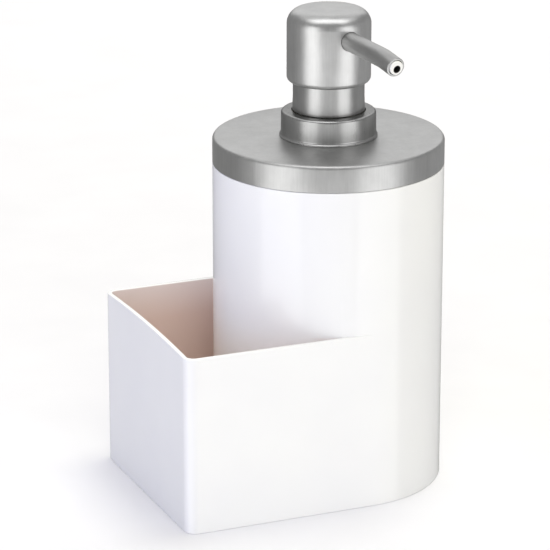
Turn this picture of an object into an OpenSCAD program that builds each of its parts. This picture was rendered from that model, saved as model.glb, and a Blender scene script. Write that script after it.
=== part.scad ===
// Soap pump with a sponge box moulded onto the foot of its soap tower.
// The origin is on the standing surface, on the tower's axis, with +Z up.
// The sponge box lies towards -X and the spout points towards -Y, turned a little towards +X.

/* [Soap tower] */
// Outer radius of the round soap tower, and half the width of the sponge box
tower_r = 45; // [40:0.5:55]
// Height of the tower's rim, where the lid sits
tower_h = 127.5; // [115:0.5:160]
// Thickness of the tower's wall
tower_wall = 2; // [1.6:0.1:2.6]

/* [Sponge box] */
// Distance from the tower's axis to the outside of the box's front wall
box_reach = 77; // [65:0.5:100]
// Height of the box's rim
box_h = 70.4; // [50:0.5:95]
// Thickness of the box's walls
box_wall = 1.8; // [1.4:0.1:2.4]
// Outer radius of the box's two upright corners
box_corner_r = 4.5; // [3:0.25:9]
// Rise of the front wall's rim from its corners to its middle
rim_crown = 1.1; // [0.6:0.1:3]
// Thickness of the moulded floor
floor_t = 2.2; // [1.6:0.1:3]
// Height of the standing rim that runs round the underside
foot_h = 1.2; // [0.8:0.1:2]
// Width of the standing rim
foot_w = 3; // [2.5:0.1:5]

/* [Lid] */
// Height of the lid above the tower's rim
lid_h = 10.5; // [8:0.25:14]
// Radius of the lid cover's upper edge
lid_edge_r = 1.35; // [1:0.05:2.5]
// Sheet thickness of the lid cover
cover_wall = 0.8; // [0.5:0.05:0.95]
// Hairline gap between the lid cover and the tower's rim
cover_gap = 0.2; // [0.1:0.05:0.4]
// Wall thickness of the moulded insert under the lid cover
insert_wall = 1.6; // [1.2:0.1:2.2]
// Depth of the insert's plug inside the tower
plug_depth = 8; // [6:0.25:12]
// Gap between the plug and the tower's bore
plug_gap = 0.3; // [0.2:0.05:0.4]
// Height of the rubber seal round the plug
seal_h = 2.8; // [2:0.1:4]
// Thickness of the seal's band, without its lips
seal_t = 0.7; // [0.5:0.05:0.9]

/* [Collar] */
// Height of the collar above the lid
collar_h = 10.1; // [8.5:0.1:14]
// Sheet thickness of the collar shell
collar_wall = 0.9; // [0.6:0.05:1.1]
// Radius of the collar's upper edge
collar_edge_r = 1.2; // [1:0.05:2]
// Height of the collar's flared foot
collar_foot_h = 1.5; // [1.2:0.1:3]
// How far the foot flares out past the collar
collar_flare = 0.5; // [0.2:0.05:0.8]
// Height of the plain lip under the flare
collar_lip_h = 0.4; // [0.3:0.05:1]
// Wall thickness of the closure ring inside the collar shell
ring_wall = 0.82; // [0.7:0.02:1.2]
// Wall thickness of the neck that the closure ring snaps onto
neck_wall = 1.4; // [1.2:0.05:2]
// How far the neck's snap bead stands out
snap_bead = 0.35; // [0.2:0.05:0.4]
// Thickness of the gasket on the neck
gasket_t = 0.8; // [0.5:0.05:1.2]

/* [Pump head] */
// Travel of the head when it is pressed
stroke = 10; // [7:0.25:13]
// Outer radius of the sleeve between the collar and the head
sleeve_r = 13.83; // [12:0.1:16]
// Sheet thickness of the sleeve
sleeve_wall = 0.8; // [0.6:0.05:1]
// Radius of the sleeve's lower edge
sleeve_edge_r = 0.5; // [0.3:0.05:0.6]
// How far the head stands out past the sleeve
head_overhang = 2.43; // [2:0.05:3.5]
// Height of the head
head_h = 28.6; // [25:0.25:34]
// Radius of the head's upper edge
head_edge_r = 5.9; // [4:0.1:7.5]
// Radius of the head's rolled lower edge
head_lip_r = 2.2; // [1.6:0.1:2.8]
// Sheet thickness of the head shell
head_wall = 1; // [0.7:0.05:1.2]

/* [Spout] */
// Reach of the spout's tip from the pump's axis
spout_reach = 49.2; // [42:0.1:80]
// Turn of the spout at rest, from -Y towards +X
spout_turn = 6.5; // [-30:0.5:30]
// Depth of the spout's axis below the top of the head, at the pump's axis
spout_drop = 9.1; // [8:0.1:11]
// Fall of the spout's straight part below level
spout_fall = 2.5; // [0:0.5:5]
// Outer radius of the spout where it leaves the head
spout_root_r = 3.75; // [3.4:0.05:4.2]
// Outer radius of the spout at its tip
spout_tip_r = 3.7; // [3.3:0.05:3.75]
// Length of the spout beyond its bend
spout_end = 9; // [6:0.25:20]
// Angle by which the end of the spout turns further down
spout_bend = 7.5; // [2:0.5:20]
// Thickness of the spout's tube at its tip
spout_wall = 1; // [0.7:0.05:1.1]
// Radius of the hole through the nozzle liner
outlet_r = 1.3; // [1:0.05:1.8]

/* [Pump engine] */
// Bore radius of the pump's barrel
barrel_r = 5.5; // [5.2:0.05:6.5]
// Wall thickness of the barrel
barrel_wall = 1.1; // [0.9:0.05:1.6]
// Outer radius of the stem inside the head and the guide
stem_r = 4.1; // [3.9:0.05:4.4]
// Outer radius of the stem's lower end, inside the piston
stem_foot_r = 3.5; // [3.3:0.05:3.7]
// Radius of the soap channel through the stem
channel_r = 1.8; // [1.4:0.05:2.1]
// Length of the piston
piston_len = 7; // [5:0.25:9]
// Play of the piston along the stem, which opens the outlet valve
piston_slip = 1; // [0.6:0.05:1.5]
// Radius of the inlet valve's ball
ball_r = 2.5; // [2.2:0.05:2.9]
// Travel of the ball off its seat
ball_lift = 1.5; // [1:0.1:2]
// Radius of the spring's wire
wire_r = 0.4; // [0.3:0.05:0.5]
// Number of curls of the spring
spring_turns = 9; // [6:1:10]
// Outer radius of the dip tube
dip_r = 3.2; // [2.6:0.05:3.6]
// Wall thickness of the dip tube
dip_wall = 0.8; // [0.5:0.05:1]
// Height of the dip tube's end above the tower's floor
dip_gap = 4; // [2:0.25:8]

/* [Hidden] */
$fn = 96;

// Overrun of every cut past the face that it opens
cut = 1;
// Radial clearance of a moulded piece seated in another
seat_fit = 0.1;
// Radial clearance of a sheet metal piece seated on a moulded one
sheet_fit = 0.05;
// Radial clearance of a piece that slides or turns in another
run_fit = 0.05;
// Radial clearance of a tube pushed into its socket
tube_fit = 0.03;

// Tower, floor and box
floor_top = foot_h + floor_t;
bore_r = tower_r - tower_wall;
crest_half = tower_r - box_corner_r;
crest_r = (crest_half * crest_half + rim_crown * rim_crown) / (2 * rim_crown);

// Lid
lid_top = tower_h + lid_h;
collar_top = lid_top + collar_h;
deck_top = lid_top - cover_wall;
deck_bottom = deck_top - insert_wall;
plug_r = bore_r - plug_gap;
flange_r = tower_r - cover_wall - seat_fit;
seal_in_r = plug_r - seal_t - seat_fit;
seal_low = tower_h - (plug_depth + seal_h) / 2;
lip_r = bore_r - run_fit - plug_r + seat_fit;

// Well in the pump housing, which the sleeve moves down into
well_gap = 0.5;
well_wall = 0.8;
well_floor_t = 1.2;
well_spare = 1.5;
well_r = sleeve_r + well_gap;
well_out_r = well_r + well_wall;
well_floor = collar_top - stroke - well_spare;

// Neck, closure ring and collar, stacked outwards from the well
neck_in_r = well_out_r + seat_fit;
neck_r = neck_in_r + neck_wall;
ring_in_r = neck_r + seat_fit;
ring_r = ring_in_r + ring_wall;
collar_r = ring_r + sheet_fit + collar_wall;
mouth_r = well_r + seat_fit;

// The same pieces stacked down from the collar's top
ring_top_t = 0.8;
rim_flange_t = 0.9;
ring_top = collar_top - collar_wall;
rim_top = ring_top - ring_top_t;
gasket_top = rim_top - rim_flange_t;
neck_top = gasket_top - gasket_t;
snap_h = 1.2;
snap_low = neck_top - 2 * snap_h - ring_top_t;
ring_lift = 0.2;

// Pump head
head_gap = 1.4;
head_bottom = collar_top + stroke + head_gap;
head_top = head_bottom + head_h;
head_r = sleeve_r + head_overhang;
sleeve_low = collar_top;
sleeve_seat = 5.4;
sleeve_top = head_bottom + head_wall + seat_fit + sleeve_seat;
core_low = head_bottom + head_wall + seat_fit;
core_top = head_top - head_wall;
core_r = head_r - head_wall - sheet_fit;
core_wall = 1.4;
hub_wall = 2.4;
hub_r = stem_r + hub_wall;
rib_t = 1.2;
rib_count = 4;

// Spout, with places measured along its axis from the pump's axis
spout_z = head_top - spout_drop;
bend_place = (spout_reach - spout_end * cos(spout_fall + spout_bend)) / cos(spout_fall);
bend_swell = 0.05;
tube_start = 8;
liner_start = 2.2;
bend_share = 0.3;
bend_tube_r = spout_tip_r + bend_share * (spout_root_r - spout_tip_r);
tube_in_r = spout_tip_r - spout_wall;
liner_r = tube_in_r - tube_fit;
liner_recess = 0.25;
boss_wall = 1.3;
boss_reach = 13.5;

// Pump engine, stacked down from the well's floor
guide_flange_r = 9;
guide_flange_t = 1.2;
guide_len = 10.3;
guide_low = well_floor - guide_len;
piston_clear = 0.3;
piston_top = guide_low - piston_clear - piston_slip;
piston_low = piston_top - piston_len;
shoulder_clear = 0.1;
stem_shoulder = piston_top + piston_slip + shoulder_clear;
channel_rise = 6;
stem_top = spout_z - channel_rise;
foot_flange_t = 2;
foot_flange_gap = 0.6;
foot_flange_r = barrel_r - foot_flange_gap;
spigot_len = 1.5;
port_r = 0.7;
port_z = piston_low + spigot_len + port_r + shoulder_clear;
piston_cup_r = stem_foot_r + port_r;
piston_cup_h = piston_len / 2;
piston_waist = 0.45;
piston_lip_h = 1.6;
spring_spare = 6.8;
spring_len = stroke + 2 * wire_r * spring_turns + spring_spare;
spring_top = piston_low - foot_flange_t;
spring_low = spring_top - spring_len;
spring_gap = 0.8;
spring_r = barrel_r - spring_gap - wire_r;
vent_r = 0.5;
vent_z = guide_low - vent_r - shoulder_clear;

// Inlet valve and dip tube, stacked down from the spring
retainer_t = 1.2;
ledge_z = spring_low - retainer_t;
ball_clear = 0.2;
seat_clear = 0.05;
ball_z = ledge_z - ball_clear - ball_lift - ball_r;
seat_angle = 40;
seat_apex = ball_z - ball_r / sin(seat_angle) - seat_clear;
chamber_gap = 1.1;
chamber_r = ball_r + chamber_gap;
inlet_share = 0.72;
inlet_r = inlet_share * ball_r;
seat_top = seat_apex + chamber_r / tan(seat_angle);
seat_low = seat_apex + inlet_r / tan(seat_angle);
seat_land = 2;
socket_top = seat_low - seat_land;
socket_len = 12;
socket_low = socket_top - socket_len;
socket_r = dip_r + tube_fit;
tail_r = socket_r + barrel_wall;
dip_low = floor_top + dip_gap;
dip_bevel = 45;
slot_count = 3;
slot_r = 1;
slot_place_r = (barrel_r + ball_r) / 2 - slot_r / 2;

// Spring form
curl_rings = 8;
wire_sides = 6;

// Flat band between two radii and two heights, to be turned about the axis
module band(r_in, r_out, z_low, z_high) {
    translate([r_in, z_low])
        square([r_out - r_in, z_high - z_low]);
}

// Flat half section of a round body with a rounded lower and upper edge
module rounded_section(r, z_low, z_high, low_edge, high_edge) {
    middle = (z_low + z_high) / 2;
    band(0, r, z_low + low_edge, z_high - high_edge);
    band(0, r - low_edge, z_low, middle);
    band(0, r - high_edge, middle, z_high);
    if (low_edge > 0)
        translate([r - low_edge, z_low + low_edge])
            circle(r = low_edge);
    if (high_edge > 0)
        translate([r - high_edge, z_high - high_edge])
            circle(r = high_edge);
}

// Plan of the sponge box, drawn in by an inset on its three free sides
module box_plan(inset) {
    corner = box_corner_r - inset;
    front = box_reach - inset;
    side = tower_r - inset;
    translate([corner - front, -side])
        square([front - corner, 2 * side]);
    translate([-front, corner - side])
        square([corner, 2 * (side - corner)]);
    for (end = [-1, 1])
        translate([corner - front, end * (side - corner)])
            circle(r = corner);
}

// Plan of the foot: the box, and the half of the tower that lies behind the axis
module foot_plan(inset, box_inset) {
    box_plan(box_inset);
    intersection() {
        circle(r = tower_r - inset);
        translate([0, -tower_r])
            square([tower_r, 2 * tower_r]);
    }
}

// Low arch that raises the middle of the front wall's rim
module front_crest() {
    intersection() {
        translate([-box_reach, -crest_half, box_h - cut])
            cube([box_wall, 2 * crest_half, rim_crown + cut]);
        translate([-box_reach - cut, 0, box_h + rim_crown - crest_r])
            rotate([0, 90, 0])
                cylinder(r = crest_r, h = box_wall + 2 * cut);
    }
}

// One white moulding: soap tower, sponge box, shared floor and standing rim
module caddy_body() {
    color("ghostwhite")
        difference() {
            union() {
                linear_extrude(box_h)
                    foot_plan(0, 0);
                translate([0, 0, box_h])
                    cylinder(r = tower_r, h = tower_h - box_h);
                front_crest();
            }
            translate([0, 0, floor_top])
                cylinder(r = bore_r, h = tower_h);
            translate([0, 0, floor_top])
                linear_extrude(box_h)
                    difference() {
                        box_plan(box_wall);
                        circle(r = tower_r);
                    }
            translate([0, 0, -cut])
                linear_extrude(foot_h + cut)
                    foot_plan(foot_w, foot_w);
        }
}

// Satin metal cap over the lid, flush with the tower
module lid_cover() {
    color("silver")
        rotate_extrude()
            difference() {
                rounded_section(tower_r, tower_h + cover_gap, lid_top, 0, lid_edge_r);
                rounded_section(tower_r - cover_wall, tower_h - cut, deck_top, 0, lid_edge_r - cover_wall);
                band(0, neck_r + seat_fit, tower_h, lid_top + cut);
            }
}

// Moulded insert that plugs the tower, rests on its rim and carries the pump's neck
module lid_insert() {
    color("whitesmoke")
        rotate_extrude()
            difference() {
                union() {
                    band(neck_in_r, plug_r, deck_bottom, deck_top);
                    band(plug_r - insert_wall, plug_r, tower_h - plug_depth, deck_top);
                    band(plug_r - insert_wall, flange_r, tower_h, tower_h + insert_wall);
                    band(neck_in_r, neck_r, deck_bottom, neck_top);
                    band(neck_in_r, neck_r + snap_bead, snap_low, snap_low + snap_h);
                }
                band(seal_in_r, plug_r + cut, seal_low - seat_fit, seal_low + seal_h + seat_fit);
            }
}

// Rubber ring in the plug's groove, with two lips that wipe the tower's bore
module lid_seal() {
    color("dimgray")
        rotate_extrude() {
            band(seal_in_r, plug_r - seat_fit, seal_low, seal_low + seal_h);
            for (z = [seal_low + lip_r, seal_low + seal_h - lip_r])
                translate([plug_r - seat_fit, z])
                    circle(r = lip_r);
        }
}

// Flat gasket between the neck and the pump housing's rim
module neck_gasket() {
    color("dimgray")
        rotate_extrude()
            band(neck_in_r, neck_r, neck_top, gasket_top);
}

// Satin metal shell of the collar, flared at its foot and open at the top for the sleeve
module collar_shell() {
    color("silver")
        rotate_extrude()
            difference() {
                union() {
                    rounded_section(collar_r, lid_top, collar_top, 0, collar_edge_r);
                    polygon([
                        [0, lid_top],
                        [collar_r + collar_flare, lid_top],
                        [collar_r + collar_flare, lid_top + collar_lip_h],
                        [collar_r, lid_top + collar_foot_h],
                        [0, lid_top + collar_foot_h]
                    ]);
                }
                band(0, ring_r + sheet_fit, lid_top - cut, ring_top);
                band(0, mouth_r, lid_top, collar_top + cut);
            }
}

// Snap ring inside the collar, which clamps the pump housing onto the neck
module closure_ring() {
    color("whitesmoke")
        rotate_extrude()
            difference() {
                band(mouth_r, ring_r, lid_top + ring_lift, ring_top);
                band(0, ring_in_r, lid_top, rim_top);
                band(0, ring_in_r + snap_bead, snap_low - seat_fit, snap_low + snap_h + seat_fit);
            }
}

// Pump housing: rim and well for the sleeve, barrel, inlet seat and dip tube socket
module pump_housing() {
    barrel_out_r = barrel_r + barrel_wall;
    color("white")
        difference() {
            rotate_extrude()
                polygon([
                    [well_r, rim_top],
                    [neck_r, rim_top],
                    [neck_r, gasket_top],
                    [well_out_r, gasket_top],
                    [well_out_r, well_floor - well_floor_t],
                    [barrel_out_r, well_floor - well_floor_t],
                    [barrel_out_r, seat_top],
                    [tail_r, socket_top],
                    [tail_r, socket_low],
                    [socket_r, socket_low],
                    [socket_r, socket_top],
                    [inlet_r, socket_top],
                    [inlet_r, seat_low],
                    [chamber_r, seat_top],
                    [chamber_r, ledge_z],
                    [barrel_r, ledge_z],
                    [barrel_r, well_floor],
                    [well_r, well_floor]
                ]);
            translate([0, 0, vent_z])
                rotate([0, 90, 0])
                    cylinder(r = vent_r, h = barrel_out_r + cut);
        }
}

// Cap that closes the barrel and guides the stem
module stem_guide() {
    guide_r = stem_r + run_fit;
    color("white")
        rotate_extrude() {
            band(guide_r, barrel_r - run_fit, guide_low, well_floor + guide_flange_t);
            band(guide_r, guide_flange_r, well_floor, well_floor + guide_flange_t);
        }
}

// One vertex of the spring's wire: the turn along the helix, then the turn round the wire
function spring_point(turn, side) =
    let (
        low = spring_low + wire_r + shoulder_clear,
        high = spring_top - wire_r - shoulder_clear,
        reach = spring_r + wire_r * cos(side)
    )
    [
        reach * cos(turn),
        reach * sin(turn),
        low + (high - low) * turn / (360 * spring_turns) + wire_r * sin(side)
    ];

// Return spring: one unbroken wire wound as a helix between the retainer and the stem's foot
module return_spring() {
    rings = curl_rings * spring_turns;
    last = rings * wire_sides;
    points = [
        for (ring = [0 : rings], side = [0 : wire_sides - 1])
            spring_point(360 * ring / curl_rings, 360 * side / wire_sides)
    ];
    walls = [
        for (ring = [0 : rings - 1], side = [0 : wire_sides - 1])
            let (
                here = ring * wire_sides + side,
                beside = ring * wire_sides + (side + 1) % wire_sides
            )
            each [
                [here, beside, beside + wire_sides],
                [here, beside + wire_sides, here + wire_sides]
            ]
    ];
    ends = [
        for (side = [1 : wire_sides - 2])
            each [
                [0, side + 1, side],
                [last, last + side, last + side + 1]
            ]
    ];
    color("darkgray")
        polyhedron(points = points, faces = concat(walls, ends));
}

// Ball of the inlet valve, resting just over its seat
module inlet_ball() {
    color("silver")
        translate([0, 0, ball_z])
            sphere(r = ball_r);
}

// Slotted disc that keeps the ball in its chamber and carries the spring
module ball_retainer() {
    color("white")
        difference() {
            translate([0, 0, ledge_z])
                cylinder(r = barrel_r - run_fit, h = retainer_t);
            for (slot = [0 : slot_count - 1])
                rotate([0, 0, 360 * slot / slot_count])
                    translate([slot_place_r, 0, ledge_z - cut])
                        cylinder(r = slot_r, h = retainer_t + 2 * cut);
        }
}

// Tube that draws soap from just above the floor, cut aslant at its end
module dip_tube() {
    color("gainsboro")
        difference() {
            translate([0, 0, dip_low])
                cylinder(r = dip_r, h = socket_top - dip_low);
            translate([0, 0, dip_low - cut])
                cylinder(r = dip_r - dip_wall, h = socket_top - dip_low + 2 * cut);
            translate([-dip_r, 0, dip_low])
                rotate([0, dip_bevel - 90, 0])
                    translate([-2 * dip_r, -2 * dip_r, -4 * dip_r])
                        cube([8 * dip_r, 4 * dip_r, 4 * dip_r]);
        }
}

// Hollow stem that carries the head and opens into the barrel through two ports
module pump_stem() {
    color("white")
        difference() {
            rotate_extrude()
                polygon([
                    [channel_r, piston_low],
                    [stem_foot_r, piston_low],
                    [stem_foot_r, stem_shoulder],
                    [stem_r, stem_shoulder],
                    [stem_r, stem_top],
                    [channel_r, stem_top]
                ]);
            translate([0, 0, port_z])
                rotate([0, 90, 0])
                    cylinder(r = port_r, h = 2 * stem_r, center = true);
        }
}

// Plug in the stem's lower end, whose flange closes the piston and meets the spring
module stem_foot() {
    color("white")
        rotate_extrude() {
            band(0, foot_flange_r, spring_top, piston_low);
            band(0, channel_r - tube_fit, spring_top, piston_low + spigot_len);
        }
}

// Piston with a wiping lip at each end and a cup over the stem's ports
module pump_piston() {
    color("white")
        rotate_extrude()
            difference() {
                union() {
                    band(0, barrel_r - run_fit, piston_low, piston_low + piston_lip_h);
                    band(0, barrel_r - piston_waist, piston_low, piston_top);
                    band(0, barrel_r - run_fit, piston_top - piston_lip_h, piston_top);
                }
                band(0, stem_foot_r + run_fit, piston_low - cut, piston_top + cut);
                band(0, piston_cup_r, piston_low - cut, piston_low + piston_cup_h);
            }
}

// Sets a piece at a place on the spout's axis, with its own axis along the spout
module along_spout(place) {
    rotate([0, 0, spout_turn])
        translate([0, 0, spout_z])
            rotate([90 + spout_fall, 0, 0])
                translate([0, 0, place])
                    children();
}

// Satin metal shell of the head, rolled in under the core
module head_shell() {
    color("silver")
        difference() {
            rotate_extrude()
                difference() {
                    rounded_section(head_r, head_bottom, head_top, head_lip_r, head_edge_r);
                    rounded_section(
                        head_r - head_wall, head_bottom + head_wall, core_top,
                        head_lip_r - head_wall, head_edge_r - head_wall
                    );
                    band(0, sleeve_r + seat_fit, head_bottom - cut, head_bottom + head_h / 2);
                }
            along_spout(0)
                cylinder(r = spout_root_r + sheet_fit, h = head_r + cut);
        }
}

// Moulded core of the head: seats for the sleeve, the stem and the spout, joined by ribs
module head_core() {
    color("white")
        difference() {
            union() {
                rotate_extrude() {
                    band(0, hub_r, core_low, core_top);
                    band(sleeve_r + seat_fit, core_r - head_lip_r / 2, core_low, sleeve_top);
                    band(sleeve_r + seat_fit, core_r, core_low + head_lip_r, sleeve_top);
                    band(0, core_r, sleeve_top, sleeve_top + core_wall);
                    band(sleeve_r - sleeve_wall - sheet_fit - core_wall, sleeve_r - sleeve_wall - sheet_fit,
                        core_low, sleeve_top);
                }
                for (rib = [0 : rib_count - 1])
                    rotate([0, 0, 360 * (rib + 1 / 2) / rib_count])
                        translate([0, -rib_t / 2, sleeve_top])
                            cube([core_r - head_edge_r / 2, rib_t, spout_z - sleeve_top]);
                along_spout(0)
                    cylinder(r = spout_root_r + boss_wall, h = boss_reach);
            }
            translate([0, 0, core_low - cut])
                cylinder(r = stem_r + tube_fit, h = stem_top + tube_fit - core_low + cut);
            translate([0, 0, stem_top])
                cylinder(r = channel_r, h = channel_rise);
            along_spout(0)
                cylinder(r = tube_in_r, h = head_r);
            along_spout(tube_start)
                cylinder(r = spout_root_r + tube_fit, h = head_r);
        }
}

// Satin metal sleeve that covers the stem and moves down into the well
module neck_sleeve() {
    color("silver")
        rotate_extrude()
            difference() {
                rounded_section(sleeve_r, sleeve_low, sleeve_top, sleeve_edge_r, 0);
                band(0, sleeve_r - sleeve_wall, sleeve_low - cut, sleeve_top + cut);
            }
}

// Round rod along the spout's axis: straight, over a ball at the bend, and on by a length
module spout_run(start, root_r, middle_r, tip_r, end_len) {
    along_spout(start)
        cylinder(r1 = root_r, r2 = middle_r, h = bend_place - start);
    along_spout(bend_place) {
        sphere(r = middle_r + bend_swell);
        rotate([spout_bend, 0, 0])
            cylinder(r1 = middle_r, r2 = tip_r, h = end_len);
    }
}

// Satin metal spout, slightly tapered and bent down near its tip
module spout_tube() {
    color("silver")
        difference() {
            spout_run(tube_start, spout_root_r, bend_tube_r, spout_tip_r, spout_end);
            spout_run(tube_start - cut, tube_in_r, tube_in_r, tube_in_r, spout_end + cut);
        }
}

// White liner through the spout, which ends just inside its tip
module nozzle_liner() {
    color("white")
        difference() {
            spout_run(liner_start, liner_r, liner_r, liner_r, spout_end - liner_recess);
            spout_run(liner_start - cut, outlet_r, outlet_r, outlet_r, spout_end + cut);
        }
}

caddy_body();
lid_cover();
lid_insert();
lid_seal();
neck_gasket();
collar_shell();
closure_ring();
pump_housing();
stem_guide();
return_spring();
inlet_ball();
ball_retainer();
dip_tube();
pump_stem();
stem_foot();
pump_piston();
head_shell();
head_core();
neck_sleeve();
spout_tube();
nozzle_liner();
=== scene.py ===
"""Soap pump caddy: its looks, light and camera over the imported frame. Every length is in metres."""

import math

import bmesh
import bpy
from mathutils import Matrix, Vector


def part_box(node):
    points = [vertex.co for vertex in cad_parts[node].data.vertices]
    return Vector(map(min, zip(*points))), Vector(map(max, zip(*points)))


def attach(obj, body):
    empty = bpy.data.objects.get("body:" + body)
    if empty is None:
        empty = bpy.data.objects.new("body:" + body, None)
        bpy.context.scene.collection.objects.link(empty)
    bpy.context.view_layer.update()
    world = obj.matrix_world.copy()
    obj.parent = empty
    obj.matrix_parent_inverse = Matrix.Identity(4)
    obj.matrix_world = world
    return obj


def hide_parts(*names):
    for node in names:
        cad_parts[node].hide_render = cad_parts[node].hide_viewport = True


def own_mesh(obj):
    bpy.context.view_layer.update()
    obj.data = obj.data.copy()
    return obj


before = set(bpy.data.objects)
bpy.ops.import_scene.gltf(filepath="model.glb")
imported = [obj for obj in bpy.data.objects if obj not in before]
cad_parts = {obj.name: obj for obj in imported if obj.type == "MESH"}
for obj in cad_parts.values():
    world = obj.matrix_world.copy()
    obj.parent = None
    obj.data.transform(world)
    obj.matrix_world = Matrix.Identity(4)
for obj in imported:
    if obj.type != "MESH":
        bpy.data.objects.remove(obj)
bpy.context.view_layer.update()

MM = 0.001

# Sizes that the frame gives
BODY_LOW, BODY_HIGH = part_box("caddy_body")
LID_LOW, LID_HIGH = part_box("lid_cover")
_, COLLAR_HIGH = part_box("collar_shell")
SLEEVE_LOW, SLEEVE_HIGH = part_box("neck_sleeve")
HEAD_LOW, HEAD_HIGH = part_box("head_shell")

# Facets round a turned piece, and the steps round a softened edge: their least number and their length
ROUND = 240
SMALL_ROUND = 96
EDGE_STEPS = 5
SOFT_STEP = 0.4 * MM

# The profile that makes a softened edge round, and the sharpest turn that is shaded smooth
ROUND_PROFILE = 0.5
SMOOTH_ANGLE = math.radians(35)

# How far off a corner may lie and still be picked, and the softness of an edge that looks sharp
NEAR = 0.005 * MM
HAIRLINE = 0.15 * MM

# Ways that an outline's arc starts or ends, in degrees, and the turn that lays a ring's axis along Y
OUTWARDS, UPWARDS, INWARDS, DOWNWARDS = 0, 90, 180, -90
LYING = (math.radians(90), 0, 0)

# Caddy body
TOWER_R = BODY_HIGH.x
TOWER_TOP = BODY_HIGH.z
TOWER_WALL = 2 * MM
BOX_FRONT = BODY_LOW.x
BOX_TOP = 70.4 * MM
BOX_WALL = 1.8 * MM
BOX_CORNER_R = 4.5 * MM
RIM_CROWN = 1.1 * MM
RIM_SOFTNESS = 0.42 * MM
FLOOR_TOP = 3.4 * MM
FOOT_RISE = 1.2 * MM
FOOT_WIDTH = 3 * MM
FOOT_SOFTNESS = 0.4 * MM
INNER_FILLET = 1.6 * MM
ARCH_STEPS = 32
CORNER_STEPS = 16

# How far off the box's inner rim, or off a step of its arch, a corner may lie and still be picked
RIM_REACH = 0.09 * MM
ARCH_REACH = 0.45 * MM

# Where the inside of the box's side walls meets the tower, on a corner of the tower's ring
FACET = 2 * math.pi / ROUND
JOIN_TURN = round(math.acos(1 - BOX_WALL / TOWER_R) / FACET) * FACET
JOIN_X = -TOWER_R * math.sin(JOIN_TURN)
JOIN_Y = TOWER_R * math.cos(JOIN_TURN)
INNER_FRONT = BOX_FRONT + BOX_WALL

# Lid cover
LID_EDGE_R = 1.6 * MM
COVER_WALL = 0.8 * MM
NECK_HOLE_R = 16.73 * MM

# Collar, and the angle in degrees at which its lip starts
COLLAR_R = 18.5 * MM
COLLAR_MOUTH_R = 14.43 * MM
COLLAR_EDGE_R = 1.2 * MM
COLLAR_WALL = 0.9 * MM
COLLAR_TAPER = 0.12 * MM
COLLAR_FOOT_H = 1.5 * MM
COLLAR_LIP_H = 0.4 * MM
COLLAR_LIP_START = 60
MOUTH_SOFTNESS = 0.3 * MM

# Sleeve and head
SLEEVE_R = SLEEVE_HIGH.x
SLEEVE_WALL = 0.8 * MM
SLEEVE_EDGE_R = 0.45 * MM
SLEEVE_FLARE = 0.2 * MM
SLEEVE_FLARE_H = 6 * MM
HEAD_R = HEAD_HIGH.x
HEAD_MOUTH_R = 13.93 * MM
HEAD_EDGE_R = 5.9 * MM
HEAD_LIP_R = 2.2 * MM
HEAD_WALL = 1 * MM
HEAD_CENTRE_R = 4 * MM

# Spout and its liner
SPOUT_Z = HEAD_HIGH.z - 9.1 * MM
SPOUT_START = 8 * MM
SPOUT_ROOT_R = 3.75 * MM
SPOUT_SEAT = 0.12 * MM
SPOUT_BAND = 5.2 * MM
SPOUT_TIP_R = 3.7 * MM
SPOUT_BORE_R = 2.95 * MM
SPOUT_BEND_PLACE = 40.375 * MM
SPOUT_END = 9 * MM
SPOUT_BEND = math.radians(7.5)
SPOUT_BEND_R = 40 * MM
SPOUT_FALL = math.radians(2.5)
SPOUT_SWING = math.radians(6.5)
SPOUT_BEND_STEPS = 8
LIP_SOFTNESS = 0.38 * MM
LINER_START = 2.2 * MM
LINER_R = 2.7 * MM
LINER_HOLE_R = 1.4 * MM
LINER_HOLE_DROP = 0.45 * MM
LINER_HOLE_SIDE = 0.1 * MM
LINER_REACH = 0.7 * MM
LINER_SOFTNESS = 0.2 * MM

# Return spring: its wire, its curls and where its ends lie
SPRING_R = 4.3 * MM
SPRING_FOOT = 92.5 * MM
SPRING_TOP = 115.5 * MM
SPRING_TURNS = 9
SPRING_STEPS = 32
WIRE_R = 0.4 * MM
WIRE_SIDES = 12

# Camera, found from the photograph: where it looks and from how far, its lens and sensor in
# millimetres, and how far it sees
CAMERA_AIM = Vector((-22.427, 0, 83.535)) * MM
CAMERA_TURN = -22.821
CAMERA_RISE = 18.263
CAMERA_DISTANCE = 1231.52 * MM
CAMERA_LENS = 206.87
CAMERA_SENSOR = 36
CAMERA_REACH = 20

# Grain and skin, in waves to the metre, with the detail of each noise
GRAIN_SCALE, GRAIN_DETAIL = 1500, 3
COARSE_SCALE, COARSE_DETAIL = 450, 2
MOTTLE_SCALE, MOTTLE_DETAIL = 140, 3
DRIFT_SCALE, DRIFT_DETAIL = 22, 2
SKIN_SCALE, SKIN_DETAIL = 420, 4

# What every noise has in common, the shares that make up the grain, and the depth of all relief
NOISE_ROUGHNESS = 0.55
NOISE_LOW, NOISE_HIGH = 0.3, 0.7
GRAIN_STRETCH_SHARE = 0.06
COARSE_SHARE = 0.45
MOTTLE_SHARE = 0.4
RELIEF_DEPTH = 0.05 * MM

# How much less blue a grey of nickel has
NICKEL_WARMTH = 0.005

# Painted warm shade inside the sponge box: where it starts, and how strong it is on the tower and below the
# rim
SHADE_SIDE_START = 38 * MM
SHADE_GAP_START = 26 * MM
SHADE_GAP_END = 8 * MM
SHADE_DEPTH = 14 * MM
SHADE_TOWER_SHARE = 0.45
SHADE_RIM_SHARE = 0.65

# Shares of a wall's thickness, from its outer face, between which the painted warm shade fades
FADE_START_SHARE = 0.75
FADE_END_SHARE = 0.25

# Studio
FLOOR_SIZE = 8
LIGHT_AIM = Vector((0, 0, 0.14))
WORLD_ON_MATT = 0.82
WORLD_ON_GLOSS = 0.3
PLAIN = (1, 1, 1)
COOL = (0.38, 0.44, 1)
SOFT = (0.812, 0.792, 0.738)
WARM = (1, 0.985, 0.85)

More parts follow.
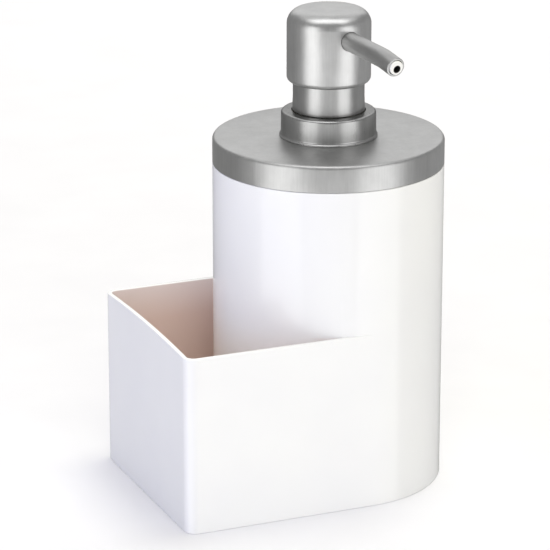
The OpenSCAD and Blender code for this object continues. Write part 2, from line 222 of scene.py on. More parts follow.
# Cards that only reflections see: turn and rise in degrees, distance, width, height and radiance
CARDS = {
    "left_card": (-46, -19, 0.55, 0.4, 1.12, 1.45),
    "right_card": (49, -19, 0.55, 0.42, 1.12, 1.34),
    "front_card": (0, -36, 0.6, 0.5, 0.86, 0.52),
    "top_card": (0, 75, 0.6, 0.9, 0.3, 1.62),
    "over_card": (180, 74, 0.7, 1.2, 0.6, 0.38),
    "back_card": (180, 30, 1.3, 1.4, 0.98, 0.68),
    "right_side_card": (125, -22, 0.6, 0.6, 1, 0.12),
}

# Softboxes that only light matt surfaces: as the cards, with a tint
SOFTBOXES = {
    "front_softbox": (8, 40, 1.2, 0.8, 0.8, 2.62, WARM),
    "left_softbox": (-50, 10, 1.2, 0.8, 0.8, 1.38, COOL),
    "back_softbox": (180, 30, 1.2, 1.2, 0.8, 1.1, PLAIN),
    "over_softbox": (128, 76, 2.4, 0.9, 0.9, 7.4, WARM),
}


# Camera

def direction(turn, rise):
    """Unit vector from the object outwards. Turn 0 is the front, towards -Y. Rise is above the horizon."""
    turn, rise = math.radians(turn), math.radians(rise)
    return Vector((math.sin(turn) * math.cos(rise), -math.cos(turn) * math.cos(rise), math.sin(rise)))


def place_camera():
    """Long lens camera in front of the sponge box's corner, a little above the object."""
    away = direction(CAMERA_TURN, CAMERA_RISE)
    bpy.ops.object.camera_add(location=CAMERA_AIM + away * CAMERA_DISTANCE)
    camera = bpy.context.object
    camera.name = "photo_camera"
    camera.rotation_euler = away.to_track_quat("Z", "Y").to_euler()
    camera.data.lens = CAMERA_LENS
    camera.data.sensor_width = CAMERA_SENSOR
    camera.data.clip_end = CAMERA_REACH
    bpy.context.scene.camera = camera


# Modelling helpers

def select_only(piece):
    """Makes one object the active one and the only one selected."""
    bpy.ops.object.select_all(action="DESELECT")
    bpy.context.view_layer.objects.active = piece
    piece.select_set(True)


def start_ring(name, radius, place, facets, turn=(0, 0, 0)):
    """A new bare circle at its place, left selected in edit mode."""
    bpy.ops.object.select_all(action="DESELECT")
    bpy.ops.mesh.primitive_circle_add(vertices=facets, radius=radius, location=place, rotation=turn)
    piece = bpy.context.object
    piece.name = name
    bpy.ops.object.transform_apply()
    bpy.ops.object.mode_set(mode="EDIT")
    bpy.ops.mesh.select_all(action="SELECT")
    return piece


def draw_out(offset, scale=None, centre=(0, 0, 0)):
    """Extrudes what is selected by an offset, and scales the new end about a centre."""
    bpy.ops.mesh.extrude_region_move(TRANSFORM_OT_translate={"value": offset})
    if scale:
        bpy.ops.transform.resize(value=scale, center_override=centre)


def pick(kind, wanted):
    """Selects the corners, edges or faces all of whose corners pass the test, and nothing else."""
    bpy.ops.mesh.select_mode(type=kind)
    bpy.ops.mesh.select_all(action="DESELECT")
    piece = bpy.context.object
    mesh = bmesh.from_edit_mesh(piece.data)
    if kind == "VERT":
        found = [corner for corner in mesh.verts if wanted([corner.co])]
    else:
        parts = mesh.edges if kind == "EDGE" else mesh.faces
        found = [part for part in parts if wanted([corner.co for corner in part.verts])]
    for part in found:
        part.select_set(True)
    bmesh.update_edit_mesh(piece.data)


def on_ring(radius, height):
    """Test for corners that lie on a ring about the axis."""
    return lambda corners: all(
        abs(corner.xy.length - radius) < NEAR and abs(corner.z - height) < NEAR for corner in corners
    )


def soften(size, steps=EDGE_STEPS):
    """Rounds the selected edges."""
    bpy.ops.mesh.bevel(offset=size, segments=steps, profile=ROUND_PROFILE, affect="EDGES")


def finish_piece():
    """Closes the seams, turns the faces outwards, leaves edit mode and shades the piece smooth."""
    bpy.ops.mesh.select_all(action="SELECT")
    bpy.ops.mesh.remove_doubles(threshold=NEAR)
    bpy.ops.mesh.select_all(action="SELECT")
    bpy.ops.mesh.normals_make_consistent(inside=False)
    bpy.ops.object.mode_set(mode="OBJECT")
    bpy.ops.object.shade_smooth_by_angle(angle=SMOOTH_ANGLE)


def turned(name, outline, soft_corners, capped=False):
    """A piece turned about the axis from an outline of (radius, height), with its corners softened."""
    radius, height = outline[0]
    piece = start_ring(name, radius, (0, 0, height), ROUND)
    if capped:
        bpy.ops.mesh.edge_face_add()
    for (r_from, z_from), (r_to, z_to) in zip(outline, outline[1:]):
        scale = r_to / r_from
        draw_out((0, 0, z_to - z_from), (scale, scale, 1), (0, 0, z_to))
    if capped:
        bpy.ops.mesh.edge_face_add()
    for radius, height, size in soft_corners:
        pick("EDGE", on_ring(radius, height))
        soften(size, max(EDGE_STEPS, round(size / SOFT_STEP)))
    finish_piece()
    return piece


# White body

def body_depth(corner):
    """How far a corner lies inside the sponge box's outline, seen from above."""
    corner_x = BOX_FRONT + BOX_CORNER_R
    corner_y = TOWER_R - BOX_CORNER_R
    if corner.x < corner_x and abs(corner.y) > corner_y:
        return BOX_CORNER_R - math.hypot(corner.x - corner_x, abs(corner.y) - corner_y)
    return min(corner.x - BOX_FRONT, TOWER_R - abs(corner.y))


def in_opening(corners):
    """Test for corners inside or round the box's opening, at the height of its rim."""
    return all(
        corner.x < JOIN_X + NEAR and body_depth(corner) > BOX_WALL - NEAR and abs(corner.z - BOX_TOP) < NEAR
        for corner in corners
    )


def on_rim(depth, spare):
    """Test for corners along the box's rim, at a depth inside its outline."""
    return lambda corners: all(
        -NEAR < corner.z - BOX_TOP < RIM_CROWN + NEAR and corner.x < NEAR
        and abs(body_depth(corner) - depth) < spare for corner in corners
    )


def round_box_floor(corners):
    """Test for corners round the floor inside the box."""
    return all(abs(corner.z - FLOOR_TOP) < NEAR and corner.xy.length > TOWER_R - NEAR for corner in corners)


def round_foot(corners):
    """Test for corners round the outside of the foot."""
    return all(
        abs(corner.z) < NEAR and (body_depth(corner) < NEAR or corner.x > -NEAR)
        and corner.xy.length > TOWER_R - NEAR for corner in corners
    )


def draw_walls(start, stops, corner_r):
    """Draws an outline of the box's three walls from the picked corners along X, and rounds it."""
    for stop in stops:
        draw_out((stop - start, 0, 0))
        start = stop
    bpy.ops.mesh.edge_face_add()
    bpy.ops.mesh.bevel(offset=corner_r, segments=CORNER_STEPS, profile=ROUND_PROFILE, affect="VERTICES")


def draw_box_plan():
    """Outer and inner outline of the box's walls, with steps along the front for its rim's arch."""
    pick("VERT", lambda corners: abs(corners[0].x) < NEAR)
    draw_walls(0, (JOIN_X, BOX_FRONT), BOX_CORNER_R)
    pick("VERT", lambda corners: abs(corners[0].x - JOIN_X) < NEAR
         and abs(abs(corners[0].y) - JOIN_Y) < NEAR)
    draw_walls(JOIN_X, (INNER_FRONT,), BOX_CORNER_R - BOX_WALL)
    for front in (BOX_FRONT, INNER_FRONT):
        pick("EDGE", lambda corners: all(abs(corner.x - front) < NEAR for corner in corners))
        bpy.ops.mesh.subdivide(number_cuts=ARCH_STEPS - 1)


def fill_plan():
    """Faces of the rim, the slivers where it runs into the tower, the tower's disc and the opening."""
    pick("EDGE", lambda corners: all(corner.x < JOIN_X + NEAR for corner in corners)
         and sum(corner.xy.length for corner in corners) > 2 * (TOWER_R + NEAR))
    bpy.ops.mesh.bridge_edge_loops()
    for side in (-1, 1):
        pick("EDGE", lambda corners: all(
            side * corner.y > JOIN_Y - NEAR and JOIN_X - NEAR < corner.x < NEAR for corner in corners
        ))
        bpy.ops.mesh.edge_face_add()
    for outline in (on_ring(TOWER_R, BOX_TOP), in_opening):
        pick("EDGE", outline)
        bpy.ops.mesh.edge_face_add()


def pull_body():
    """Pulls the plan down to the standing rim, up and into the tower, and down into the box."""
    bpy.ops.mesh.select_mode(type="FACE")
    bpy.ops.mesh.select_all(action="SELECT")
    draw_out((0, 0, -BOX_TOP))
    bpy.ops.mesh.inset(thickness=FOOT_WIDTH)
    draw_out((0, 0, FOOT_RISE))
    pick("FACE", on_ring(TOWER_R, BOX_TOP))
    draw_out((0, 0, TOWER_TOP - BOX_TOP))
    bpy.ops.mesh.inset(thickness=TOWER_WALL)
    draw_out((0, 0, FLOOR_TOP - TOWER_TOP))
    pick("FACE", in_opening)
    draw_out((0, 0, FLOOR_TOP - BOX_TOP))


def arch_rim():
    """Raises the front wall's rim to a low arch, step by step."""
    half = TOWER_R - BOX_CORNER_R
    for count in range(1, ARCH_STEPS):
        share = 2 * count / ARCH_STEPS - 1
        pick("VERT", lambda corners: corners[0].x < INNER_FRONT + NEAR and corners[0].z > BOX_TOP - NEAR
             and abs(corners[0].y - share * half) < ARCH_REACH)
        bpy.ops.transform.translate(value=(0, 0, RIM_CROWN * (1 - share ** 2)))


def soften_body():
    """Rounds the rims of box and tower, the inner corners and the foot."""
    bore_r = TOWER_R - TOWER_WALL
    for edges, size in (
        (on_rim(0, NEAR), RIM_SOFTNESS),
        (on_rim(BOX_WALL, RIM_REACH), RIM_SOFTNESS),
        (on_ring(TOWER_R, TOWER_TOP), RIM_SOFTNESS),
        (on_ring(bore_r, TOWER_TOP), RIM_SOFTNESS),
        (on_ring(bore_r, FLOOR_TOP), INNER_FILLET),
        (round_box_floor, INNER_FILLET),
        (round_foot, FOOT_SOFTNESS)
    ):
        pick("EDGE", edges)
        soften(size)


def model_body():
    """Tower and sponge box as one moulding: a plan drawn at the box's rim, then pulled down, up and in."""
    piece = start_ring("caddy_moulding", TOWER_R, (0, 0, BOX_TOP), ROUND)
    draw_box_plan()
    fill_plan()
    pull_body()
    arch_rim()
    soften_body()
    finish_piece()
    return piece


# Satin metal pieces

def arc(centre_r, centre_z, radius, start, end, steps):
    """Outline points along an arc, with its angles in degrees from the outward direction."""
    angles = [math.radians(start + (end - start) * step / steps) for step in range(steps + 1)]
    return [(centre_r + radius * math.cos(angle), centre_z + radius * math.sin(angle)) for angle in angles]


def model_lid():
    """Cap flush with the tower, with a soft upper edge and a hole for the pump's neck."""
    low, high = LID_LOW.z, LID_HIGH.z
    inner_r = TOWER_R - COVER_WALL
    inner_top = high - COVER_WALL
    outline = [
        (TOWER_R, low), (TOWER_R, high), (NECK_HOLE_R, high), (NECK_HOLE_R, inner_top),
        (inner_r, inner_top), (inner_r, low), (TOWER_R, low)
    ]
    edges = [(TOWER_R, high, LID_EDGE_R), (TOWER_R, low, HAIRLINE), (NECK_HOLE_R, high, HAIRLINE)]
    return turned("lid_cap", outline, edges)


def model_collar():
    """Slightly tapered collar with a soft mouth and a foot that flares out in a hollow curve."""
    low, high = LID_HIGH.z, COLLAR_HIGH.z
    foot_r = COLLAR_HIGH.x
    top_r = COLLAR_R - COLLAR_TAPER
    lip_r = COLLAR_LIP_H / 2
    inner_r = COLLAR_R - COLLAR_WALL
    inner_top = high - COLLAR_WALL
    hollow_r = COLLAR_FOOT_H - COLLAR_LIP_H
    hollow_turn = math.degrees(math.acos(1 - (foot_r - COLLAR_R) / hollow_r))
    edge = arc(
        top_r - COLLAR_EDGE_R, high - COLLAR_EDGE_R, COLLAR_EDGE_R, UPWARDS, OUTWARDS, 2 * EDGE_STEPS
    )
    hollow = arc(
        COLLAR_R + hollow_r, low + COLLAR_FOOT_H, hollow_r, INWARDS, INWARDS + hollow_turn, EDGE_STEPS
    )
    lip = arc(foot_r - lip_r, low + lip_r, lip_r, COLLAR_LIP_START, DOWNWARDS, 2 * EDGE_STEPS)
    outline = [(COLLAR_MOUTH_R, high)] + edge + hollow + lip + [
        (inner_r, low), (inner_r, inner_top), (COLLAR_MOUTH_R, inner_top), (COLLAR_MOUTH_R, high)
    ]
    return turned("collar_cap", outline, [(COLLAR_MOUTH_R, high, MOUTH_SOFTNESS)])


def model_sleeve():
    """Thin sleeve, drawn slightly outwards at its foot, with a fine soft edge."""
    low, high = SLEEVE_LOW.z, SLEEVE_HIGH.z
    foot_r = SLEEVE_R + SLEEVE_FLARE
    inner_r = SLEEVE_R - SLEEVE_WALL
    edge = arc(foot_r - SLEEVE_EDGE_R, low + SLEEVE_EDGE_R, SLEEVE_EDGE_R, OUTWARDS, DOWNWARDS, EDGE_STEPS)
    outline = [(inner_r, high), (SLEEVE_R, high), (SLEEVE_R, low + SLEEVE_FLARE_H)] + edge + [
        (inner_r, low), (inner_r, high)
    ]
    return turned("sleeve_tube", outline, [])


def model_head():
    """Press head: a deep drawn cup with a generous upper edge, rolled in to the sleeve at its foot."""
    low, high = HEAD_LOW.z, HEAD_HIGH.z
    inner_r = HEAD_R - HEAD_WALL
    inner_top = high - HEAD_WALL
    below_spout = SPOUT_Z - SPOUT_BAND
    outline = [
        (HEAD_CENTRE_R, high), (HEAD_R, high), (HEAD_R, below_spout), (HEAD_R, low),
        (HEAD_MOUTH_R, low), (HEAD_MOUTH_R, low + HEAD_WALL), (inner_r, low + HEAD_WALL),
        (inner_r, below_spout), (inner_r, inner_top), (HEAD_CENTRE_R, inner_top)
    ]
    edges = [
        (HEAD_R, high, HEAD_EDGE_R), (HEAD_R, low, HEAD_LIP_R),
        (inner_r, inner_top, HEAD_EDGE_R - HEAD_WALL)
    ]
    return turned("head_cap", outline, edges, capped=True)


# Spout and liner

def seat_spout(piece):
    """Sets a piece drawn from the origin towards -Y to the spout's height, fall and turn."""
    select_only(piece)
    piece.location.z = SPOUT_Z
    piece.rotation_euler = (SPOUT_FALL, 0, SPOUT_SWING)
    bpy.ops.object.transform_apply()


def cut_spout_hole(head):
    """Opens the head's side for the spout."""
    hole_r = SPOUT_ROOT_R + SPOUT_SEAT
    cutter = start_ring("spout_cutter", hole_r, (0, -SPOUT_START, 0), SMALL_ROUND, LYING)
    bpy.ops.mesh.edge_face_add()
    draw_out((0, -HEAD_R, 0))
    finish_piece()
    seat_spout(cutter)
    select_only(head)
    bpy.ops.object.modifier_add(type="BOOLEAN")
    head.modifiers[-1].object = cutter
    bpy.ops.object.modifier_apply(modifier=head.modifiers[-1].name)
    bpy.ops.object.shade_smooth_by_angle(angle=SMOOTH_ANGLE)
    bpy.data.objects.remove(cutter)


def model_spout_run(name, start, root_r, tip_r, bore_r, end_len, lip_softness, bore_drop=0, bore_side=0):
    """A pipe drawn out from the origin, turned down by a smooth bend and drawn back through its bore."""
    slack = SPOUT_BEND_R * math.tan(SPOUT_BEND / 2)
    straight = SPOUT_BEND_PLACE - slack - start
    end = end_len - slack
    bend_r = tip_r + (root_r - tip_r) * end_len / (SPOUT_BEND_PLACE + end_len)
    end_way = Vector((0, -math.cos(SPOUT_BEND), -math.sin(SPOUT_BEND)))
    end_up = Vector((0, -math.sin(SPOUT_BEND), math.cos(SPOUT_BEND)))
    bend_start = Vector((0, slack - SPOUT_BEND_PLACE, 0))
    bend_end = Vector((0, -SPOUT_BEND_PLACE, 0)) + slack * end_way
    bend_centre = bend_start - Vector((0, 0, SPOUT_BEND_R))
    tip = bend_end + end * end_way
    bore_centre = tip - bore_drop * end_up + Vector((bore_side, 0, 0))

    def bend(angle):
        bpy.ops.mesh.spin(steps=SPOUT_BEND_STEPS, angle=angle, center=bend_centre, axis=(1, 0, 0))

    def to_radius(from_r, to_r, centre):
        bpy.ops.transform.resize(value=(to_r / from_r,) * 3, center_override=centre)

    def soften_tip(centre, radius, size):
        pick("EDGE", lambda corners: all(
            abs((corner - tip).dot(end_way)) < NEAR and abs((corner - centre).length - radius) < NEAR
            for corner in corners
        ))
        soften(size)

    piece = start_ring(name, root_r, (0, -start, 0), SMALL_ROUND, LYING)
    draw_out((0, -straight, 0))
    to_radius(root_r, bend_r, bend_start)
    bend(-SPOUT_BEND)
    draw_out(end * end_way)
    to_radius(bend_r, tip_r, tip)
    draw_out((0, 0, 0))
    to_radius(tip_r, bore_r, tip)
    bpy.ops.transform.translate(value=bore_centre - tip)
    draw_out(-end * end_way)
    bend(SPOUT_BEND)
    draw_out((0, straight, 0))
    pick("EDGE", lambda corners: all(abs(corner.y + start) < NEAR for corner in corners))
    bpy.ops.mesh.bridge_edge_loops()
    soften_tip(tip, tip_r, lip_softness)
    soften_tip(bore_centre, bore_r, lip_softness / 2)
    finish_piece()
    return piece


def paint_bore_shade(liner, material):
    """Gives the walls of the liner's bore a near-black painted shade as a material of their own, before the
    liner is seated.
    """
    wall_limit = LINER_HOLE_R + LINER_SOFTNESS

    def in_bore(corner):
        fall = max(0, -corner.y - SPOUT_BEND_PLACE) * math.tan(SPOUT_BEND)
        return math.hypot(corner.x - LINER_HOLE_SIDE, corner.z + LINER_HOLE_DROP + fall) < wall_limit

    liner.data.materials.append(material)
    select_only(liner)
    bpy.ops.object.mode_set(mode="EDIT")
    pick("FACE", lambda corners: all(in_bore(corner) for corner in corners))
    liner.active_material_index = 1
    bpy.ops.object.material_slot_assign()
    bpy.ops.object.mode_set(mode="OBJECT")


# Return spring

def model_spring():
    """Round wire wound into curls, with its two ends closed."""
    piece = start_ring("spring_wire", WIRE_R, (SPRING_R, 0, SPRING_FOOT), WIRE_SIDES, LYING)
    bpy.ops.object.mode_set(mode="OBJECT")
    bpy.ops.object.modifier_add(type="SCREW")
    winding = piece.modifiers[-1]
    winding.screw_offset = (SPRING_TOP - SPRING_FOOT) / SPRING_TURNS
    winding.iterations = SPRING_TURNS
    winding.steps = winding.render_steps = SPRING_STEPS
    bpy.ops.object.modifier_apply(modifier=winding.name)
    bpy.ops.object.mode_set(mode="EDIT")
    for end in (SPRING_FOOT, SPRING_TOP):
        pick("EDGE", lambda corners: all(
            corner.x > 0 and abs(corner.y) < NEAR and abs(corner.z - end) < WIRE_R + NEAR
            for corner in corners
        ))
        bpy.ops.mesh.edge_face_add()
    finish_piece()
    return piece


# Shader helpers

def link(tree, source, target):
    """Joins two sockets."""
    tree.links.new(source, target)


def feed(tree, value, socket):
    """Sets a socket to a number or a colour, or links another socket to it."""
    if isinstance(value, (int, float)):
        socket.default_value = value
    elif isinstance(value, tuple):
        socket.default_value = (*value, 1)
    else:
        link(tree, value, socket)


def noise(tree, vector, scale, detail):
    """Noise over the piece, as a value about one half. The scale is in waves to the metre."""
    node = tree.nodes.new("ShaderNodeTexNoise")
    node.inputs["Scale"].default_value = scale
    node.inputs["Detail"].default_value = detail
    node.inputs["Roughness"].default_value = NOISE_ROUGHNESS
    link(tree, vector, node.inputs["Vector"])
    return node.outputs["Fac"]


def stretch(tree, vector, scale):
    """The same coordinates, stretched along the axes."""
    node = tree.nodes.new("ShaderNodeVectorMath")
    node.operation = "MULTIPLY"
    node.inputs[1].default_value = scale
    link(tree, vector, node.inputs[0])
    return node.outputs["Vector"]


def calculate(tree, operation, *values):
    """One sum over sockets and numbers."""
    node = tree.nodes.new("ShaderNodeMath")
    node.operation = operation
    for socket, value in zip(node.inputs, values):
        feed(tree, value, socket)
    return node.outputs["Value"]


def weigh(tree, first, second, second_share):
    """Two values added, each by its share of the whole."""
    return calculate(tree, "ADD", calculate(tree, "MULTIPLY", first, 1 - second_share),
                     calculate(tree, "MULTIPLY", second, second_share))


def diagonal(tree, first, second):
    """The length of the line whose two sides are given."""
    return calculate(tree, "SQRT", calculate(tree, "ADD", calculate(tree, "MULTIPLY", first, first),
                                             calculate(tree, "MULTIPLY", second, second)))


def spread(tree, value, low, high, start=NOISE_LOW, end=NOISE_HIGH):
    """Maps a stretch of values, or else the middle of a noise, onto a range."""
    node = tree.nodes.new("ShaderNodeMapRange")
    for label, number in (("From Min", start), ("From Max", end), ("To Min", low), ("To Max", high)):
        node.inputs[label].default_value = number
    link(tree, value, node.inputs["Value"])
    return node.outputs["Result"]


def blend(tree, factor, first, second):
    """Mixes two colours by a factor."""
    node = tree.nodes.new("ShaderNodeMix")
    node.data_type = "RGBA"
    link(tree, factor, node.inputs["Factor"])
    feed(tree, first, node.inputs["A"])
    feed(tree, second, node.inputs["B"])
    return node.outputs["Result"]


# Shared surface effects

def new_group(name, outputs):
    """An empty shader group with its outputs, and its end node."""
    group = bpy.data.node_groups.new(name, "ShaderNodeTree")
    for label in outputs:
        group.interface.new_socket(name=label, in_out="OUTPUT", socket_type="NodeSocketFloat")
    return group, group.nodes.new("NodeGroupOutput")


def brushed_grain(axis):
    """Fine grain drawn out along one axis, with a slow mottling over it."""
    group, ends_out = new_group("brushed_grain_" + axis, ("Grain", "Mottle"))
    coordinates = group.nodes.new("ShaderNodeTexCoord").outputs["Object"]
    along = tuple(GRAIN_STRETCH_SHARE if axis == name else 1 for name in "xyz")
    grain_place = stretch(group, coordinates, along)
    fine = noise(group, grain_place, GRAIN_SCALE, GRAIN_DETAIL)
    coarse = noise(group, grain_place, COARSE_SCALE, COARSE_DETAIL)
    link(group, weigh(group, fine, coarse, COARSE_SHARE), ends_out.inputs["Grain"])
    link(group, noise(group, coordinates, MOTTLE_SCALE, MOTTLE_DETAIL), ends_out.inputs["Mottle"])
    return group


def moulded_skin():
    """The faint drift of tone and the fine unevenness of a moulded surface."""
    group, ends_out = new_group("moulded_skin", ("Drift", "Skin"))
    coordinates = group.nodes.new("ShaderNodeTexCoord").outputs["Object"]
    link(group, noise(group, coordinates, DRIFT_SCALE, DRIFT_DETAIL), ends_out.inputs["Drift"])
    link(group, noise(group, coordinates, SKIN_SCALE, SKIN_DETAIL), ends_out.inputs["Skin"])
    return group


def painted_recess_shade():
    """How strong the painted warm shade is in the sponge box: full on its side walls, faint on the tower,
    none outside.
    """
    group, ends_out = new_group("painted_recess_shade", ("Painted_Shade",))
    axes = group.nodes.new("ShaderNodeSeparateXYZ")
    link(group, group.nodes.new("ShaderNodeTexCoord").outputs["Object"], axes.inputs["Vector"])
    x, y, z = (axes.outputs[axis] for axis in "XYZ")
    side = calculate(group, "ABSOLUTE", y)
    past_x = calculate(group, "MAXIMUM", calculate(group, "SUBTRACT", BOX_FRONT + BOX_CORNER_R, x), 0)
    past_y = calculate(group, "MAXIMUM", calculate(group, "SUBTRACT", side, TOWER_R - BOX_CORNER_R), 0)
    from_corner = diagonal(group, past_x, past_y)
    from_axis = diagonal(group, x, y)
    below_rim = BOX_TOP - RIM_SOFTNESS
    on_tower = spread(group, z, SHADE_TOWER_SHARE, 0, BOX_TOP - 2 * SHADE_DEPTH, below_rim)
    on_wall = spread(group, z, 1, SHADE_RIM_SHARE, BOX_TOP - SHADE_DEPTH, below_rim)
    near_wall = spread(group, side, 0, 1, SHADE_SIDE_START, TOWER_R - BOX_WALL)
    painted_shade = calculate(group, "ADD", on_tower, calculate(
        group, "MULTIPLY", near_wall, calculate(group, "SUBTRACT", on_wall, on_tower)
    ))
    start, end = BOX_WALL * FADE_START_SHARE, BOX_WALL * FADE_END_SHARE
    tower_start, tower_end = TOWER_WALL * FADE_START_SHARE, TOWER_WALL * FADE_END_SHARE
    masks = (
        spread(group, from_corner, 1, 0, BOX_CORNER_R - start, BOX_CORNER_R - end),
        spread(group, x, 1, 0, -SHADE_GAP_START, -SHADE_GAP_END),
        spread(group, from_axis, 0, 1, TOWER_R - tower_start, TOWER_R - tower_end),
        spread(group, z, 1, 0, below_rim, BOX_TOP)
    )
    for mask in masks:
        painted_shade = calculate(group, "MULTIPLY", painted_shade, mask)
    link(group, painted_shade, ends_out.inputs["Painted_Shade"])
    return group


# Finishes

def nickel(level):
    """A grey of nickel, with a little less blue."""
    return (level, level, level - NICKEL_WARMTH)


def grey(level):
    """A plain grey."""
    return (level, level, level)


def new_finish(name, metallic, **constants):
    """A new material with its node tree and shader, and sockets set by name. A name has _ for its space."""
    material = bpy.data.materials.new(name)
    material.use_nodes = True
    tree = material.node_tree
    shader = tree.nodes["Principled BSDF"]
    shader.inputs["Metallic"].default_value = metallic
    for label, value in constants.items():
        feed(tree, value, shader.inputs[label.replace("_", " ")])
    return material, tree, shader


def place_group(tree, group):
    """Puts a shared effect into a material."""
    node = tree.nodes.new("ShaderNodeGroup")
    node.node_tree = group
    return node


def bump(tree, shader, height, strength):
    """Gives the surface a fine relief."""
    node = tree.nodes.new("ShaderNodeBump")
    node.inputs["Strength"].default_value = strength
    node.inputs["Distance"].default_value = RELIEF_DEPTH
    link(tree, height, node.inputs["Height"])
    link(tree, node.outputs["Normal"], shader.inputs["Normal"])


def satin_metal(name, group, dark, light, rough, relief, **constants):
    """Satin metal: drawn grain in its colour, its gloss and its surface."""
    material, tree, shader = new_finish(name, 1, **constants)
    grain = place_group(tree, group)
    tone = weigh(tree, grain.outputs["Grain"], grain.outputs["Mottle"], MOTTLE_SHARE)
    link(tree, blend(tree, spread(tree, tone, 0, 1), dark, light), shader.inputs["Base Color"])
    link(tree, spread(tree, grain.outputs["Grain"], *rough), shader.inputs["Roughness"])
    bump(tree, shader, grain.outputs["Grain"], relief)
    return material


def moulded(name, group, dark, light, rough, relief):
    """Moulded plastic or rubber: a slow drift of tone and a fine skin."""
    material, tree, shader = new_finish(name, 0)
    skin = place_group(tree, group)
    tone = spread(tree, skin.outputs["Drift"], 0, 1)
    link(tree, blend(tree, tone, dark, light), shader.inputs["Base Color"])
    link(tree, spread(tree, skin.outputs["Skin"], *rough), shader.inputs["Roughness"])
    bump(tree, shader, skin.outputs["Skin"], relief)
    return material


def blend_painted_shade(material, group, warm):
    """Blends the painted warm shade into a finish where the recess shade group says so."""
    tree = material.node_tree
    target = tree.nodes["Principled BSDF"].inputs["Base Color"]
    plain = target.links[0].from_socket
    link(tree, blend(tree, place_group(tree, group).outputs["Painted_Shade"], plain, warm), target)


def dress(piece, material):
    """Gives a modelled piece its finish."""
    piece.data.materials.clear()
    piece.data.materials.append(material)


def dress_node(name, material):
    """Gives a carried-over node its finish."""
    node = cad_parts[name]
    for slot in node.material_slots:
        slot.material = material
    if not node.material_slots:
        node.data.materials.append(material)


# Floor and light

def lay_floor(material):
    """A wide sheet of paper under the object, which reflections don't see."""
    bpy.ops.object.select_all(action="DESELECT")
    bpy.ops.mesh.primitive_plane_add(size=FLOOR_SIZE, location=(0, 0, 0))
    floor = bpy.context.object
    floor.name = "studio_floor"
    dress(floor, material)
    floor.visible_glossy = False


def hang_panel(name, turn, rise, distance, width, height, radiance, tint, on_gloss):
    """A light panel that faces the pump, seen by reflections or else by matt surfaces.

    Turn is counted from the camera, to the right.
    """
    away = direction(CAMERA_TURN + turn, rise)
    bpy.ops.object.light_add(type="AREA", location=LIGHT_AIM + away * distance)
    panel = bpy.context.object
    panel.name = name
    panel.rotation_euler = away.to_track_quat("Z", "Y").to_euler()
    panel.data.shape = "RECTANGLE"
    panel.data.size = width
    panel.data.size_y = height
    panel.data.color = tint
    panel.data.energy = radiance * math.pi * width * height
    panel.visible_camera = False
    panel.visible_glossy = on_gloss
    panel.visible_diffuse = not on_gloss


def light_world():
    """Even surroundings: pale for the matt surfaces, dim in reflections and white to the camera."""
    world = bpy.data.worlds.new("studio")
    bpy.context.scene.world = world
    world.use_nodes = True
    tree = world.node_tree
    path = tree.nodes.new("ShaderNodeLightPath")
    seen = tree.nodes["Background"]
    seen.inputs["Color"].default_value = (*SOFT, 1)
    seen.inputs["Strength"].default_value = WORLD_ON_MATT
    for ray, strength in (("Is Glossy Ray", WORLD_ON_GLOSS), ("Is Camera Ray", 1)):
        other = tree.nodes.new("ShaderNodeBackground")
        other.inputs["Color"].default_value = (*PLAIN, 1)
        other.inputs["Strength"].default_value = strength
        mix = tree.nodes.new("ShaderNodeMixShader")
        link(tree, path.outputs[ray], mix.inputs["Fac"])
        link(tree, seen.outputs[0], mix.inputs[1])
        link(tree, other.outputs["Background"], mix.inputs[2])
        seen = mix
    link(tree, seen.outputs["Shader"], tree.nodes["World Output"].inputs["Surface"])


# The camera and the pieces

place_camera()
body = model_body()
lid = model_lid()
collar = model_collar()
sleeve = model_sleeve()
head = model_head()
cut_spout_hole(head)
spout = model_spout_run(
    "spout_pipe", SPOUT_START, SPOUT_ROOT_R, SPOUT_TIP_R, SPOUT_BORE_R, SPOUT_END, LIP_SOFTNESS
)
liner = model_spout_run(
    "liner_pipe", LINER_START, LINER_R, LINER_R, LINER_HOLE_R, SPOUT_END + LINER_REACH, LINER_SOFTNESS,
    LINER_HOLE_DROP, LINER_HOLE_SIDE
)
spring = model_spring()

# Their finishes: the darkest and the lightest tone, the range of roughness and the strength of the relief

upright_grain = brushed_grain("z")
spout_grain = brushed_grain("y")
plastic_skin = moulded_skin()

white_gloss = moulded(
    "white_gloss_plastic", plastic_skin, (0.86, 0.867, 0.893), (0.89, 0.897, 0.912),
    rough=(0.14, 0.2), relief=0.05
)
# Painted warm shade on the white plastic inside the sponge box
blend_painted_shade(white_gloss, painted_recess_shade(), (0.74, 0.57, 0.52))
satin_lid = satin_metal(
    "satin_nickel_lid", upright_grain, nickel(0.485), nickel(0.615), rough=(0.38, 0.44), relief=0.2
)
satin_sleeve = satin_metal(
    "satin_nickel_sleeve", upright_grain, nickel(0.43), nickel(0.56), rough=(0.28, 0.34), relief=0.2,
    Anisotropic=0.3, Specular_Tint=grey(0.7)
)
satin_collar = satin_metal(
    "satin_nickel_collar", upright_grain, nickel(0.4), nickel(0.52), rough=(0.26, 0.32), relief=0.2,
    Anisotropic=0.3, Specular_Tint=grey(0.52)
)
satin_head = satin_metal(
    "satin_nickel_head", upright_grain, nickel(0.54), nickel(0.69), rough=(0.32, 0.38), relief=0.2,
    Anisotropic=0.3, Specular_Tint=grey(0.88)
)
satin_spout = satin_metal(
    "satin_nickel_spout", spout_grain, nickel(0.45), nickel(0.54), rough=(0.34, 0.4), relief=0.12
)
wire = satin_metal(
    "spring_steel", upright_grain, (0.4, 0.4, 0.4), (0.56, 0.56, 0.55), rough=(0.2, 0.3), relief=0.05
)
polished = satin_metal(
    "ball_steel", upright_grain, (0.7, 0.7, 0.71), (0.8, 0.8, 0.81), rough=(0.06, 0.12), relief=0.02
)
natural = moulded(
    "natural_plastic", plastic_skin, (0.78, 0.78, 0.74), (0.86, 0.86, 0.83), rough=(0.38, 0.5), relief=0.1
)
engine_white = moulded(
    "pump_plastic", plastic_skin, (0.84, 0.84, 0.82), (0.9, 0.9, 0.88), rough=(0.28, 0.36), relief=0.06
)
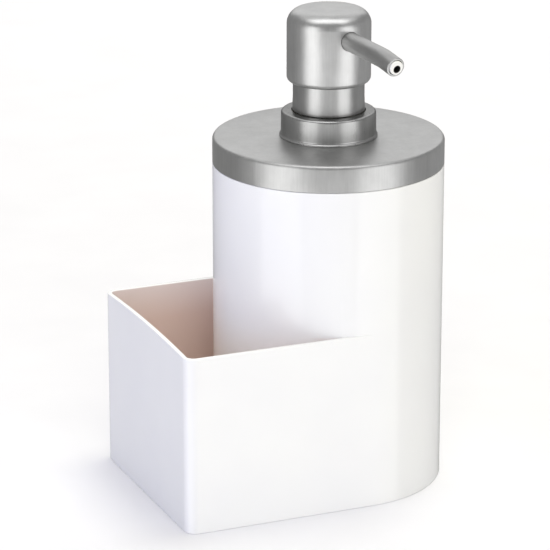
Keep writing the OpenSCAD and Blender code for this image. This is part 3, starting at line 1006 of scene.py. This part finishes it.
milky = moulded(
    "tube_plastic", plastic_skin, (0.76, 0.79, 0.78), (0.86, 0.88, 0.87), rough=(0.3, 0.42), relief=0.08
)
liner_white = moulded(
    "liner_plastic", plastic_skin, (0.84, 0.84, 0.83), (0.9, 0.9, 0.89), rough=(0.22, 0.32), relief=0.05
)
# Near-black painted shade for the walls of the liner's bore
painted_bore_shade = moulded("bore_shade", plastic_skin, grey(0.012), grey(0.02), rough=(0.5, 0.6), relief=0.05)
rubber = moulded(
    "seal_rubber", plastic_skin, (0.035, 0.035, 0.038), (0.06, 0.06, 0.064), rough=(0.62, 0.8), relief=0.25
)
paper = moulded(
    "studio_paper", plastic_skin, (0.805, 0.808, 0.86), (0.825, 0.828, 0.88), rough=(0.8, 0.9), relief=0.02
)

# Each modelled piece with the node that it stands for, the body that it rides on, its finish and its slot

PIECES = (
    (body, "caddy_body", "caddy", white_gloss, "white_body_plastic"),
    (lid, "lid_cover", "lid", satin_lid, "satin_nickel"),
    (collar, "collar_shell", "lid", satin_collar, "satin_nickel"),
    (sleeve, "neck_sleeve", "head", satin_sleeve, "satin_nickel"),
    (head, "head_shell", "head", satin_head, "satin_nickel"),
    (spout, "spout_tube", "head", satin_spout, "satin_nickel"),
    (liner, "nozzle_liner", "head", liner_white, "liner_plastic"),
    (spring, "return_spring", "lid", wire, "spring_steel"),
)
for piece, node, ridden, material, slot in PIECES:
    dress(piece, material)
    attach(piece, ridden)
    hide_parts(node)

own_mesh(spring)
paint_bore_shade(liner, painted_bore_shade)
for piece in (liner, spout):
    seat_spout(piece)

# The nodes that stay as they are, by finish

NODE_FINISHES = (
    (natural, ("lid_insert", "closure_ring", "pump_housing")),
    (rubber, ("lid_seal", "neck_gasket")),
    (engine_white, ("stem_guide", "ball_retainer", "pump_stem", "stem_foot", "pump_piston", "head_core")),
    (milky, ("dip_tube",)),
    (polished, ("inlet_ball",)),
)
for material, nodes in NODE_FINISHES:
    for node in nodes:
        dress_node(node, material)

# The studio

lay_floor(paper)
light_world()
bpy.context.scene.view_settings.view_transform = "Standard"
for name, card in CARDS.items():
    hang_panel(name, *card, PLAIN, on_gloss=True)
for name, softbox in SOFTBOXES.items():
    hang_panel(name, *softbox, on_gloss=False)
